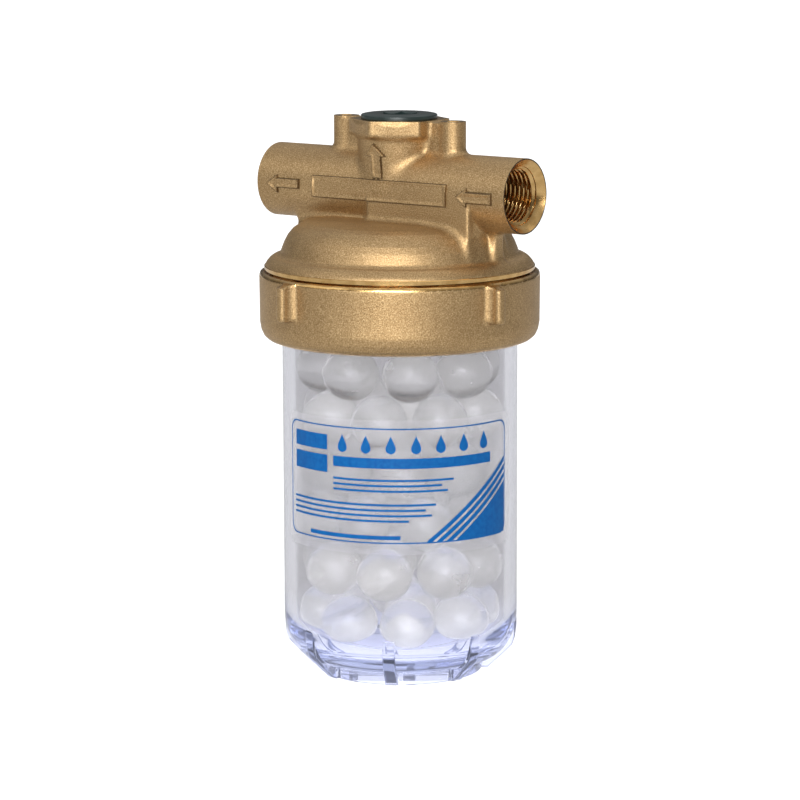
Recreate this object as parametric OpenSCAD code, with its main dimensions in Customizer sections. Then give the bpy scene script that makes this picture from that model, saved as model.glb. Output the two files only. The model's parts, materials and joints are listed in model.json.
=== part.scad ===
// Inline water filter: brass head with two horizontal ports, threaded lock ring, clear bowl
// and a filling of dosing balls. Z is up, the foot of the bowl stands on z = 0, X runs along the
// ports towards the inlet and the front of the head faces -Y. Millimetres.

/* [Ports] */
// Distance between the two port faces
port_span = 108; // [106:0.5:112]
// Outside diameter of the port tube
tube_d = 26.4; // [26:0.1:27]
// Height of the port axis above the foot
port_z = 174.3; // [173.5:0.1:175]
// Minor diameter of the G1/2 port thread
thread_minor_d = 18.63; // [18.6:0.01:18.7]
// Depth of the port thread, without its mouth chamfer
thread_len = 15; // [13:0.5:17]

/* [Head] */
// Height of the collar's top face above the foot
collar_z = 198.8; // [198:0.1:200]
// Height of the collar's rim
collar_h = 6; // [5:0.5:7]
// Distance between the two bracket holes
boss_pitch = 47.2; // [46:0.2:49]
// Outside diameter of a bracket boss
boss_d = 8.8; // [8:0.1:9.4]
// Tapping diameter of a bracket hole
boss_hole_d = 4.2; // [4:0.1:4.4]
// Diameter of the machined flange that shows above the lock ring
flange_d = 96.4; // [96:0.1:97]

/* [Lock ring] */
// Outside diameter of the lock ring, without its lugs
ring_d = 100; // [99:0.5:104]
// Height of the lock ring
ring_h = 24.7; // [24:0.1:25]
// How far the lugs stand out
lug_out = 5.2; // [2:0.1:6]
// Width of a lug
lug_w = 5; // [4:0.5:7]
// Angle of the first lug from the front, towards the inlet
lug_angle = 76.6; // [0:0.1:90]

/* [Bowl] */
// Outside diameter of the bowl
bowl_d = 84; // [83.5:0.1:84.4]
// Wall thickness of the bowl
bowl_wall = 4.4; // [4:0.1:4.6]
// Outside diameter of the foot
foot_d = 59; // [56:0.5:61]
// Thickness of a rib under the bowl
rib_t = 4.5; // [3:0.25:6]
// Angle of the first rib from the front, towards the inlet
rib_angle = 30.5; // [0:0.5:45]

/* [Dosing balls] */
// Diameter of a dosing ball
ball_d = 19.6; // [18:0.1:19.6]

/* [Label] */
// Height of the label
label_h = 47.5; // [40:0.5:50]
// Angle that the label covers
label_sweep = 130; // [100:1:150]
// Direction of the label's middle from the front, towards the inlet
label_angle = 35.3; // [0:0.1:90]

/* [Hidden] */
$fn = 96;
eps = 0.01;
brass = [0.72, 0.56, 0.35];
clear_plastic = [0.80, 0.82, 0.88, 0.35];
black_plastic = [0.06, 0.08, 0.08];
white_plastic = [0.88, 0.88, 0.86];
rubber = [0.08, 0.08, 0.08];
frosted_glass = [0.90, 0.92, 0.92, 0.6];
label_film = [0.93, 0.95, 0.98, 0.5];

// Head: heights and radii of its outside
tube_r = tube_d / 2;
half_span = port_span / 2;
collar_r = 17.3;
collar_flat = 15.6;
neck_top_r = 15;
neck_foot_r = 12.6;
boss_r = boss_d / 2;
boss_depth = 11;
boss_web_w = 5.6;
boss_web_top = collar_z - 0.5;
flange_r = flange_d / 2;
flange_z0 = 145.3;
flange_z1 = 147;
flange_bulge = [[-0.4, 1.2], [-1.8, 2.6], [-3.2, 3.4], [-4.6, 3.5]];
dome_foot_r = 41.8;
dome_foot_z = 151.6;
dome_rise = 10.8;
dome_run = 9.8;
crown_r = 24;
crown_rise = 0.8;
web_out_t = 16;
web_out_x = -41;
web_in_t = 19;
web_in_x = 43.5;
web_round = 3;
web_z0 = 150;
barrel_r = 11;
block_x0 = -5;
block_x1 = 39.2;
block_in = 0.1;

// Head: threaded skirt that the lock ring screws onto, as plain rings at the thread's pitch
skirt_z = 131;
skirt_r = 45.9;
skirt_root_r = 44.7;
ring_pitch = 4;
ridge_w = 1.8;
ridge_count = 3;
relief_h = 1.9;

// Head: waterways
mouth_r = 10.65;
mouth_depth = 1.3;
passage_r = 7.5;
cavity_r = 37.6;
cavity_top_z = 156.5;
insert_bore_r = 7.8;
insert_bore_top = 186;
plug_bore_r = 10.28;
seal_seat_r = 12.6;
seal_seat_h = 1.6;

// Plug
plug_flange_r = 13.55;
plug_flange_h = 1.8;
plug_shank_r = 10.2;
plug_len = 11.2;
plug_edge = 0.6;
hex_across_flats = 12;
hex_depth = 6.5;
hex_chamfer = 0.6;

// Lock ring
ring_r = ring_d / 2;
ring_top = 145;
ring_foot = ring_top - ring_h;
ring_bore_r = 46.35;
ring_root_r = 47.3;
ring_lip_r = 42.75;
ring_lip_h = 4.3;
ring_round = 7;
ring_edge = 1.2;
ring_mouth_r = 48.5;
lug_count = 4;
lug_h = 13.2;
lug_top = ring_top - 1.5;
lug_round = 1.2;

// Bowl
bowl_r = bowl_d / 2;
bowl_inner_r = bowl_r - bowl_wall;
washer_h = 1;
rim_foot = ring_foot + ring_lip_h + washer_h;
rim_top = 130.95;
rim_r = 45.4;
rim_seal_r = 41.3;
rim_groove_w = 3.6;
rim_groove_h = 2.6;
corner_top = 20.7;
corner_foot = 5;
corner_r = 31;
foot_r = foot_d / 2;
foot_inner_r = 26;
foot_recess = 3.8;
floor_z = 11;
floor_round = 11;
rib_count = 8;
rib_clear = 0.4;

// Dosing balls: six layers against the wall and a column in the middle
ball_r = ball_d / 2;
ball_ring_r = bowl_inner_r - ball_r - 0.35;
layer_rise = 18.2;
layer_twist = 28.8;
first_ball_z = floor_z + ball_r + 0.8;
first_ball_angle = 41.1;
ring_balls = 8;
top_layer_balls = 5;
top_layer_rise = 16.6;
top_layer_angle = -46.2;
column_r = 4;
column_balls = 5;

// Seals
plug_seal_r = 0.78;
plug_seal_ring_r = 11.4;
bowl_seal_r = 1.29;
insert_seal_r = 0.72;
insert_seal_ring_r = 7.04;

// Dosing insert and its basket
insert_r = 7.74;
insert_top = 185.5;
insert_flange_r = 14;
insert_flange_h = 2.5;
insert_groove_r = 6.3;
insert_groove_h = 2;
insert_groove_z = [160, 182.9];
throat_r = 2.5;
throat_mouth_r = 6;
jet_r = 1.2;
jet_x = 5;
basket_r = 15.6;
basket_clip_r = 14.15;
basket_inner_r = 12.4;
basket_foot = 139;
basket_clip_z = 152.5;
basket_floor = 1.6;
basket_slots = 10;
basket_slot_w = 3;
basket_holes = 6;

// Label
label_foot = 50;
label_r = bowl_r + 0.25;
label_t = 0.2;

// Puts its children at an angle from the front, counted towards the inlet
module around(angle) {
    rotate([0, 0, angle - 90]) children();
}

// Lays a shape that is drawn along Z along the port axis, pointing to the inlet
module along_ports() {
    translate([0, 0, port_z]) rotate([0, 90, 0]) children();
}

// Closed ring of round section
module seal(ring_radius, section_radius, z) {
    translate([0, 0, z])
        rotate_extrude()
            translate([ring_radius, 0]) circle(r = section_radius, $fn = 48);
}

// Plain tube between two heights
module tube(outer_r, inner_r, z0, z1) {
    translate([0, 0, z0]) difference() {
        cylinder(r = outer_r, h = z1 - z0);
        translate([0, 0, -1]) cylinder(r = inner_r, h = z1 - z0 + 2);
    }
}

// Points of an elliptical quarter round, from its side down to its foot
function quarter(centre_r, top_z, run, drop, steps) = [
    for (i = [0:steps])
        let (a = 90 * i / steps)
            [centre_r + run * cos(a), top_z - drop * sin(a)]
];

// Half section of the dome and its flange, outside only
module dome_section() {
    polygon(concat(
        [[0, flange_z0], [flange_r, flange_z0], [flange_r, flange_z1]],
        [for (p = flange_bulge) [flange_r + p[0], flange_z1 + p[1]]],
        [for (i = [0:6])
            let (a = 15 * i)
                [dome_foot_r - dome_run * (1 - cos(a)), dome_foot_z + dome_rise * sin(a)]],
        [[crown_r, dome_foot_z + dome_rise + crown_rise], [0, dome_foot_z + dome_rise + crown_rise]]
    ));
}

// Corner points of a rectangle with round corners
function round_rectangle(x0, x1, y0, y1, r) = [
    for (corner = [[x1 - r, y1 - r, 0], [x0 + r, y1 - r, 90], [x0 + r, y0 + r, 180], [x1 - r, y0 + r, 270]])
        for (step = [0:6])
            let (a = corner[2] + 15 * step)
                [corner[0] + r * cos(a), corner[1] + r * sin(a)]
];

// Block with rounded upright edges, from inside the flange up to the port axis
module upright_block(x0, x1, y0, y1) {
    translate([0, 0, web_z0])
        linear_extrude(port_z - web_z0) polygon(round_rectangle(x0, x1, y0, y1, web_round));
}

// Cast outside of the head, before its waterways are cut
module head_casting() {
    along_ports() translate([0, 0, -half_span]) cylinder(r = tube_r, h = port_span);
    rotate_extrude() dome_section();
    // Threaded skirt under the flange
    translate([0, 0, skirt_z]) cylinder(r = skirt_root_r, h = flange_z0 - skirt_z + eps);
    for (i = [0:ridge_count - 1])
        translate([0, 0, skirt_z + 0.6 + i * ring_pitch]) cylinder(r = skirt_r, h = ridge_w);
    // Neck and collar that take the plug
    translate([0, 0, port_z])
        cylinder(r1 = neck_foot_r, r2 = neck_top_r, h = collar_z - collar_h - port_z + eps);
    intersection() {
        translate([0, 0, collar_z - collar_h]) cylinder(r = collar_r, h = collar_h);
        translate([0, 0, collar_z - collar_h])
            rotate([0, 0, 30]) cylinder(r = collar_flat / cos(30), h = collar_h, $fn = 6);
    }
    // Bracket bosses with their webs
    for (side = [-1, 1]) {
        translate([side * boss_pitch / 2, 0, port_z]) cylinder(r = boss_r, h = collar_z - port_z);
        translate([side * boss_pitch / 4, 0, (port_z + boss_web_top) / 2])
            cube([boss_pitch / 2, boss_web_w, boss_web_top - port_z], center = true);
    }
    // Barrel round the insert, and the web between the tube and the dome, thicker on the inlet side
    translate([0, 0, web_z0]) cylinder(r = barrel_r, h = port_z - web_z0);
    upright_block(web_out_x, 0, -web_out_t / 2, web_out_t / 2);
    upright_block(0, web_in_x, -web_in_t / 2, web_in_t / 2);
    upright_block(block_x0, block_x1, block_in - tube_r, 0);
}

// Everything that is bored out of the casting
module head_waterways() {
    for (side = [0, 180])
        translate([0, 0, port_z]) rotate([0, 90, side]) {
            translate([0, 0, half_span - mouth_depth])
                cylinder(r1 = thread_minor_d / 2, r2 = mouth_r + 0.1, h = mouth_depth + 0.1);
            translate([0, 0, half_span - mouth_depth - thread_len])
                cylinder(r = thread_minor_d / 2, h = thread_len + eps);
            cylinder(r = passage_r, h = half_span - thread_len);
        }
    // Bore for the insert, and the plug's bore with the seat of its seal
    cylinder(r = insert_bore_r, h = insert_bore_top);
    translate([0, 0, insert_bore_top - eps]) cylinder(r = plug_bore_r, h = collar_z);
    translate([0, 0, collar_z - seal_seat_h]) cylinder(r = seal_seat_r, h = seal_seat_h + 1);
    // Space above the bowl
    rotate_extrude() polygon([
        [0, skirt_z - 1], [cavity_r, skirt_z - 1], [cavity_r, 147], [36.5, 150.5],
        [33, 154], [26, cavity_top_z], [0, cavity_top_z]
    ]);
    for (side = [-1, 1])
        translate([side * boss_pitch / 2, 0, collar_z - boss_depth])
            cylinder(r = boss_hole_d / 2, h = boss_depth + 1);
}

module head() {
    color(brass) difference() {
        head_casting();
        head_waterways();
    }
}

module top_plug() {
    shank_top = collar_z;
    color(black_plastic) difference() {
        union() {
            translate([0, 0, shank_top - plug_len])
                cylinder(r = plug_shank_r, h = plug_len + eps);
            translate([0, 0, shank_top]) rotate_extrude() polygon([
                [0, 0], [plug_flange_r, 0], [plug_flange_r, plug_flange_h - plug_edge],
                [plug_flange_r - plug_edge, plug_flange_h], [0, plug_flange_h]
            ]);
        }
        translate([0, 0, shank_top + plug_flange_h - hex_depth])
            cylinder(r = hex_across_flats / 2 / cos(30), h = hex_depth + 1, $fn = 6);
        translate([0, 0, shank_top + plug_flange_h - hex_chamfer])
            cylinder(r1 = hex_across_flats / 2, r2 = hex_across_flats / 2 + 2 * hex_chamfer,
                     h = 2 * hex_chamfer);
    }
}

module top_plug_oring() {
    color(rubber) seal(plug_seal_ring_r, plug_seal_r, collar_z - seal_seat_h / 2);
}

// One lug: an upright bar with a rounded outer edge
module lug() {
    lug_in = 2;
    translate([ring_r - lug_in, 0, lug_top - lug_h])
        linear_extrude(lug_h) union() {
            translate([0, -lug_w / 2]) square([lug_in + lug_out - lug_round, lug_w]);
            translate([0, -lug_w / 2 + lug_round])
                square([lug_in + lug_out, lug_w - 2 * lug_round]);
            for (s = [-1, 1])
                translate([lug_in + lug_out - lug_round, s * (lug_w / 2 - lug_round)])
                    circle(r = lug_round, $fn = 32);
        }
}

module lock_ring() {
    shoulder = ring_foot + ring_lip_h;
    color(brass) difference() {
        union() {
            rotate_extrude() polygon(concat(
                [[ring_lip_r, ring_foot]],
                [for (i = [6:-1:0])
                    let (a = 15 * i)
                        [ring_r - ring_round * (1 - cos(a)), ring_foot + ring_round * (1 - sin(a))]],
                [for (i = [0:3])
                    let (a = 30 * i)
                        [ring_r - ring_edge * (1 - cos(a)), ring_top - ring_edge * (1 - sin(a))]],
                [[ring_mouth_r, ring_top], [ring_root_r, ring_top - ring_mouth_r + ring_root_r]],
                [[ring_root_r, ring_top - relief_h], [ring_bore_r, ring_top - relief_h]],
                [[ring_bore_r, shoulder], [ring_lip_r, shoulder]]
            ));
            for (i = [0:lug_count - 1]) around(lug_angle + 360 * i / lug_count) lug();
        }
        // Roots of the thread, as plain grooves at the thread's pitch
        for (i = [0:ridge_count - 1])
            tube(ring_root_r, ring_bore_r - 1,
                 skirt_z + 2.6 + i * ring_pitch, skirt_z + 4 + i * ring_pitch);
    }
}

module slip_washer() {
    color(white_plastic)
        tube(rim_r + 0.5, ring_lip_r + 0.2, ring_foot + ring_lip_h, rim_foot);
}

// Solid outside of the bowl, before it is hollowed
module bowl_outside() {
    rotate_extrude() polygon(concat(
        [[0, 0], [foot_r - 0.6, 0], [foot_r, 0.6], [foot_r + 0.5, corner_foot]],
        [for (p = [10:-1:0]) quarter(corner_r, corner_top, bowl_r - corner_r,
                                     corner_top - corner_foot, 10)[p]],
        [[bowl_r, rim_foot], [rim_r, rim_foot], [rim_r, rim_top], [0, rim_top]]
    ));
    for (i = [0:rib_count - 1])
        around(rib_angle + 360 * i / rib_count)
            translate([0, rib_t / 2, 0]) rotate([90, 0, 0])
                linear_extrude(rib_t) polygon([
                    [foot_inner_r + 1, rib_clear], [foot_r + 2.2, rib_clear],
                    [bowl_r - 1.5, 9.2], [bowl_r - 0.5, 12], [bowl_r - 0.1, 16],
                    [bowl_r - 0.1, 19], [bowl_inner_r - 2, 19], [foot_inner_r + 1, corner_foot]
                ]);
}

module bowl() {
    color(clear_plastic) difference() {
        bowl_outside();
        rotate_extrude() polygon(concat(
            [[0, floor_z]],
            [for (i = [6:-1:0]) quarter(bowl_inner_r - floor_round, floor_z + floor_round,
                                        floor_round, floor_round, 6)[i]],
            [[bowl_inner_r, rim_top + 1], [0, rim_top + 1]]
        ));
        translate([0, 0, -1]) cylinder(r = foot_inner_r, h = foot_recess + 1);
        tube(rim_seal_r + rim_groove_w / 2, rim_seal_r - rim_groove_w / 2,
             rim_top - rim_groove_h, rim_top + 1);
    }
}

module bowl_oring() {
    color(rubber)
        seal(rim_seal_r, bowl_seal_r, rim_top - rim_groove_h + bowl_seal_r + 0.02);
}

// Dosing insert: a venturi across the flow, with jets that feed and draw from the bowl
module dosing_insert() {
    flange_z = cavity_top_z - insert_flange_h;
    color(white_plastic) difference() {
        union() {
            translate([0, 0, cavity_top_z - eps])
                cylinder(r = insert_r, h = insert_top - cavity_top_z);
            translate([0, 0, flange_z]) cylinder(r = insert_flange_r, h = insert_flange_h);
        }
        for (side = [0, 180])
            translate([0, 0, port_z]) rotate([0, 90, side])
                cylinder(r1 = throat_r, r2 = throat_mouth_r, h = insert_r + 1);
        translate([0, 0, flange_z - 1]) cylinder(r = jet_r, h = port_z - flange_z);
        translate([jet_x, 0, flange_z - 1]) cylinder(r = jet_r, h = port_z - flange_z);
        for (z = insert_groove_z)
            tube(insert_r + 1, insert_groove_r, z, z + insert_groove_h);
    }
}

module insert_oring_lower() {
    color(rubber)
        seal(insert_seal_ring_r, insert_seal_r, insert_groove_z[0] + insert_groove_h / 2);
}

module insert_oring_upper() {
    color(rubber)
        seal(insert_seal_ring_r, insert_seal_r, insert_groove_z[1] + insert_groove_h / 2);
}

// Slotted basket that keeps the balls away from the insert's jets
module strainer_basket() {
    color(white_plastic) difference() {
        translate([0, 0, basket_foot])
            cylinder(r = basket_r, h = cavity_top_z - basket_foot - 0.1);
        translate([0, 0, basket_foot + basket_floor]) cylinder(r = basket_inner_r, h = 40);
        translate([0, 0, basket_clip_z]) cylinder(r = basket_clip_r, h = 40);
        for (i = [0:basket_slots - 1])
            rotate([0, 0, 360 * i / basket_slots])
                translate([basket_inner_r - 1, -basket_slot_w / 2, basket_foot + 3])
                    cube([6, basket_slot_w, 9]);
        for (i = [0:basket_holes - 1])
            rotate([0, 0, 360 * i / basket_holes])
                translate([7.5, 0, basket_foot - 1]) cylinder(r = 1.5, h = basket_floor + 2);
    }
}

module label() {
    color(label_film)
        translate([0, 0, label_foot]) rotate([0, 0, label_angle - 90 - label_sweep / 2])
            rotate_extrude(angle = label_sweep)
                translate([label_r, 0]) square([label_t, label_h]);
}

// Height of a layer that lies against the wall, counted from 0
function layer_z(i) = first_ball_z + layer_rise * i;

// One full layer of balls against the wall
module ball_layer(i) {
    color(frosted_glass)
        for (k = [0:ring_balls - 1])
            around(first_ball_angle + layer_twist * i + 360 * k / ring_balls)
                translate([ball_ring_r, 0, layer_z(i)]) sphere(r = ball_r);
}

module ball_layer_1() {
    ball_layer(0);
}

module ball_layer_2() {
    ball_layer(1);
}

module ball_layer_3() {
    ball_layer(2);
}

module ball_layer_4() {
    ball_layer(3);
}

module ball_layer_5() {
    ball_layer(4);
}

// The last, part-filled layer sits in the hollows of the one below
module ball_layer_6() {
    color(frosted_glass)
        for (k = [0:top_layer_balls - 1])
            around(top_layer_angle + 360 * k / ring_balls)
                translate([ball_ring_r, 0, layer_z(4) + top_layer_rise]) sphere(r = ball_r);
}

// Balls up the middle, leaning left and right in turn
module ball_column() {
    color(frosted_glass)
        for (i = [0:column_balls - 1])
            rotate([0, 0, 60 + 180 * i]) translate([column_r, 0, layer_z(i)]) sphere(r = ball_r);
}

head();
top_plug();
top_plug_oring();
lock_ring();
slip_washer();
bowl();
bowl_oring();
dosing_insert();
insert_oring_upper();
insert_oring_lower();
strainer_basket();
label();
ball_layer_1();
ball_layer_2();
ball_layer_3();
ball_layer_4();
ball_layer_5();
ball_layer_6();
ball_column();
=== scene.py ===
"""Looks of the inline dosing filter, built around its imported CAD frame.

Shapes are worked out in millimetres in the frame's own axes (Z up, X along the ports towards the
inlet, -Y to the front) and become metres when their mesh is made. Cast shapes are distance fields
turned into meshes, and turned shapes are solids of revolution that are joined or cut with booleans.
"""
import json
import math

import bmesh
import bpy
import numpy as np
from mathutils import Matrix, Vector


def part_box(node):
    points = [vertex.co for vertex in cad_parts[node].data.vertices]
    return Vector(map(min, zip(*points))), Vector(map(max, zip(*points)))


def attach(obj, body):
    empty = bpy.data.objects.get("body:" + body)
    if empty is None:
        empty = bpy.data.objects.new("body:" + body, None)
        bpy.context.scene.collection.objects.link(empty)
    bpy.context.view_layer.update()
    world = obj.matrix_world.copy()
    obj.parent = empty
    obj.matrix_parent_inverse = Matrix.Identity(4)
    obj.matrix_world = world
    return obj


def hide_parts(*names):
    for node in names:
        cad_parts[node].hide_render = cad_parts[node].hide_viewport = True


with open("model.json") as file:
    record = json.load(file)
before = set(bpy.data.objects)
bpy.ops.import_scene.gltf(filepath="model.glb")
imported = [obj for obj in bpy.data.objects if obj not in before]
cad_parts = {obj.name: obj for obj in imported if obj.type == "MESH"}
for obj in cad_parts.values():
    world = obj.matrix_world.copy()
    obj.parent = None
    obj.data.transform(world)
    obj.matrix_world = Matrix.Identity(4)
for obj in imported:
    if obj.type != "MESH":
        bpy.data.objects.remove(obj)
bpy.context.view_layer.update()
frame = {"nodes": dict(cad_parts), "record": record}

MM = 0.001
SHARP = math.radians(38)


def node_box(name):
    """Lowest and highest corner of a CAD node, in millimetres."""
    lo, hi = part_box(name)
    return np.array(lo) / MM, np.array(hi) / MM


HEAD_HI = node_box("head")[1]
RING_LO, RING_HI = node_box("lock_ring")
BOWL_HI = node_box("bowl")[1]
PLUG_LO, PLUG_HI = node_box("top_plug")
LABEL_LO, LABEL_HI = node_box("label")
MOUNTS = {mount["name"]: mount for mount in frame["record"]["mounts"]}

PORT_Z = MOUNTS["inlet_port"]["pos_m"][2] / MM
HALF_SPAN = HEAD_HI[0]
COLLAR_Z = MOUNTS["bracket_holes"]["pos_m"][2] / MM
BOSS_X = MOUNTS["bracket_holes"]["dims"]["spacing_x_mm"] / 2
RING_TOP = RING_HI[2]
RING_FOOT = RING_LO[2]
RIM_TOP = BOWL_HI[2]
RING_PITCH = 4.0

# ---------------------------------------------------------------- distance fields, in millimetres


def round_union(a, b, radius):
    """Union of two fields with a fillet."""
    u = np.maximum(radius - a, 0)
    v = np.maximum(radius - b, 0)
    return np.maximum(radius, np.minimum(a, b)) - np.hypot(u, v)


def polygon_distance(points, u, v):
    """Signed distance to a closed polygon, negative inside."""
    nearest = np.full(np.shape(u), 1e9)
    inside = np.zeros(np.shape(u), bool)
    for (ax, ay), (bx, by) in zip(points, points[1:] + points[:1]):
        ex, ey = bx - ax, by - ay
        wx, wy = u - ax, v - ay
        along = np.clip((wx * ex + wy * ey) / (ex * ex + ey * ey), 0, 1)
        nearest = np.minimum(nearest, (wx - ex * along) ** 2 + (wy - ey * along) ** 2)
        crosses = (ay > v) != (by > v)
        if ey != 0:
            inside ^= crosses & (u < ex * (v - ay) / ey + ax)
    return np.where(inside, -1, 1) * np.sqrt(nearest)


def extrude(flat, z, z0, z1, edge):
    """A flat outline's field between two heights, with rounded top and bottom edges."""
    a = flat + edge
    b = np.maximum(z0 - z, z - z1) + edge
    return np.minimum(np.maximum(a, b), 0) + np.hypot(np.maximum(a, 0), np.maximum(b, 0)) - edge


def box_flat(u, v, u0, u1, v0, v1, corner):
    """Signed distance to a flat rectangle with round corners."""
    a = np.abs(u - (u0 + u1) / 2) - (u1 - u0) / 2 + corner
    b = np.abs(v - (v0 + v1) / 2) - (v1 - v0) / 2 + corner
    return np.minimum(np.maximum(a, b), 0) + np.hypot(np.maximum(a, 0), np.maximum(b, 0)) - corner


def sample(field, lo, cell, count):
    """Field at the points of a grid, worked out point by point only near its surface."""
    block = 4
    blocks = [-(-n // block) for n in count]
    axes = [lo[i] + cell * (block * np.arange(blocks[i]) + (block - 1) / 2) for i in range(3)]
    values = field(*np.meshgrid(*axes, indexing="ij"))
    near = np.abs(values) < block * cell
    for axis in range(3):
        values = np.repeat(values, block, axis)
        near = np.repeat(near, block, axis)
    values = values[:count[0], :count[1], :count[2]].copy()
    at = np.nonzero(near[:count[0], :count[1], :count[2]])
    values[at] = field(*(lo[i] + cell * at[i] for i in range(3)))
    return values


def net_quads(inside, index):
    """Quads of a surface net: one round each grid edge that crosses the surface."""
    quads = []
    for axis in range(3):
        u, w = (axis + 1) % 3, (axis + 2) % 3
        start = np.take(inside, range(inside.shape[axis] - 1), axis)
        end = np.take(inside, range(1, inside.shape[axis]), axis)
        at = np.argwhere(start != end)
        at = at[(at[:, u] > 0) & (at[:, w] > 0)]
        at = at[(at[:, u] < inside.shape[u] - 1) & (at[:, w] < inside.shape[w] - 1)]
        step_u, step_w = np.eye(3, dtype=int)[u], np.eye(3, dtype=int)[w]
        ring = [at - step_u - step_w, at - step_w, at, at - step_u]
        quad = np.stack([index[tuple(c.T)] for c in ring], axis=1)
        outward = inside[tuple(at.T)]
        quads.append(np.where(outward[:, None], quad, quad[:, ::-1]))
    return np.concatenate(quads)


def surface_net(field, lo, hi, cell):
    """Closed quad mesh of a field's zero surface, with its points moved onto the surface."""
    lo = np.array(lo, float)
    count = [int(math.ceil((hi[i] - lo[i]) / cell)) + 1 for i in range(3)]
    values = sample(field, lo, cell, count)
    inside = values < 0
    corners = [np.array(c) for c in np.ndindex(2, 2, 2)]
    window = [tuple(slice(c[i], count[i] - 1 + c[i]) for i in range(3)) for c in corners]
    total = sum(inside[w].astype(np.int8) for w in window)
    mixed = (total > 0) & (total < 8)
    cells = np.argwhere(mixed)
    index = np.full(mixed.shape, -1)
    index[mixed] = np.arange(len(cells))
    at_corner = [values[tuple((cells + c).T)] for c in corners]
    summed, crossings = np.zeros((len(cells), 3)), np.zeros(len(cells))
    for i, low in enumerate(corners):
        for j, high in enumerate(corners):
            if j <= i or np.abs(high - low).sum() != 1:
                continue
            a, b = at_corner[i], at_corner[j]
            cross = (a < 0) != (b < 0)
            part = a[cross] / (a[cross] - b[cross])
            summed[cross] += low + part[:, None] * (high - low)
            crossings[cross] += 1
    points = lo + cell * (cells + summed / crossings[:, None])
    return settle(field, points, cell), net_quads(inside, index)


def settle(field, points, cell):
    """Moves points onto a field's zero surface."""
    for _ in range(3):
        value = field(*points.T)
        slope = np.stack([
            field(*(points + step).T) - field(*(points - step).T)
            for step in np.eye(3) * cell * 0.1
        ], axis=1) / (cell * 0.2)
        move = slope * (value / np.maximum((slope ** 2).sum(1), 0.2))[:, None]
        points = points - np.clip(move, -cell * 0.6, cell * 0.6)
    return points


# ---------------------------------------------------------------- meshes


def make_object(name, points, faces, material=None):
    """Mesh object from points in millimetres."""
    mesh = bpy.data.meshes.new(name)
    mesh.from_pydata((np.asarray(points) * MM).tolist(), [], [list(map(int, f)) for f in faces])
    mesh.validate()
    piece = bpy.data.objects.new(name, mesh)
    bpy.context.scene.collection.objects.link(piece)
    if material:
        mesh.materials.append(material)
    return piece


def shade(piece, angle=SHARP):
    """Smooth shading, apart from edges sharper than the angle."""
    piece.data.shade_smooth()
    piece.data.set_sharp_from_angle(angle=angle)
    return piece


def apply_modifiers(piece):
    """Turns a piece's modifiers into its mesh."""
    bpy.context.view_layer.update()
    shaped = piece.evaluated_get(bpy.context.evaluated_depsgraph_get())
    mesh = bpy.data.meshes.new_from_object(shaped)
    piece.modifiers.clear()
    piece.data = mesh
    return piece


def combine(piece, tool, operation):
    """Boolean with a tool, which is used up. The exact solver steps in where the fast one can't."""
    for solver in ("MANIFOLD", "EXACT"):
        cut = piece.modifiers.new("cut", "BOOLEAN")
        cut.operation, cut.solver, cut.object = operation, solver, tool
        bpy.context.view_layer.update()
        shaped = piece.evaluated_get(bpy.context.evaluated_depsgraph_get())
        mesh = bpy.data.meshes.new_from_object(shaped)
        piece.modifiers.clear()
        if len(mesh.polygons) > len(piece.data.polygons) // 8 and changed(piece.data, mesh):
            piece.data = mesh
            bpy.data.objects.remove(tool)
            return piece
        print("boolean", piece.name, tool.name, solver, "gave", len(mesh.polygons))
    raise RuntimeError(f"boolean of {piece.name} with {tool.name} failed")


def changed(before, after):
    """Whether a boolean did anything to a mesh."""
    return len(before.polygons) != len(after.polygons)


def thread_form(phase):
    """Height of a rounded screw thread, 0 in its root and 1 on its crest."""
    rise = np.clip((np.abs(phase % 1 - 0.5) * 2 - 0.14) / 0.72, 0, 1)
    return rise * rise * (3 - 2 * rise)


def turned(rows, steps=128, pitch=1.0, closed_loop=False):
    """Solid turned about Z from rows of (height, radius, thread height).

    The rows run from the bottom up with their solid side inwards, or once round their section
    where closed_loop is set.
    """
    rows = np.array([row if len(row) == 3 else (*row, 0) for row in rows], float)
    turn = np.arange(steps) / steps
    wave = thread_form(rows[:, :1] / pitch - turn)
    radius = rows[:, 1:2] + rows[:, 2:] * wave
    angle = 2 * math.pi * turn
    points = np.stack([
        radius * np.cos(angle), radius * np.sin(angle), np.repeat(rows[:, :1], steps, 1)
    ], axis=2).reshape(-1, 3)
    count = len(rows)
    faces = []
    for i in range(count if closed_loop else count - 1):
        low, high = i * steps, (i + 1) % count * steps
        faces += [
            (low + j, low + (j + 1) % steps, high + (j + 1) % steps, high + j)
            for j in range(steps)
        ]
    if not closed_loop:
        faces.append(range(steps - 1, -1, -1))
        faces.append(range((count - 1) * steps, count * steps))
    return points, faces


def thread_rows(z0, z1, radius, height, fade, step):
    """Rows of a threaded length, which fades in and out."""
    return [
        (z, radius, height * min(1, max(0, (z - z0) / fade), max(0, (z1 - z) / fade)))
        for z in np.linspace(z0, z1, int((z1 - z0) / step) + 1)
    ]


def laid_along_x(shape, side):
    """Turned shape with its axis moved onto the port axis, pointing to one side."""
    points, faces = shape
    x, y, z = points.T
    return np.stack([side * z, side * y, PORT_Z - x], axis=1), faces


def block_shape(lo, hi):
    """Plain box, used only as a cutting tool."""
    points = [(x, y, z) for z in (lo[2], hi[2]) for y in (lo[1], hi[1]) for x in (lo[0], hi[0])]
    faces = [(0, 2, 3, 1), (4, 5, 7, 6), (0, 1, 5, 4), (2, 6, 7, 3), (0, 4, 6, 2), (1, 3, 7, 5)]
    return points, faces


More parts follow.
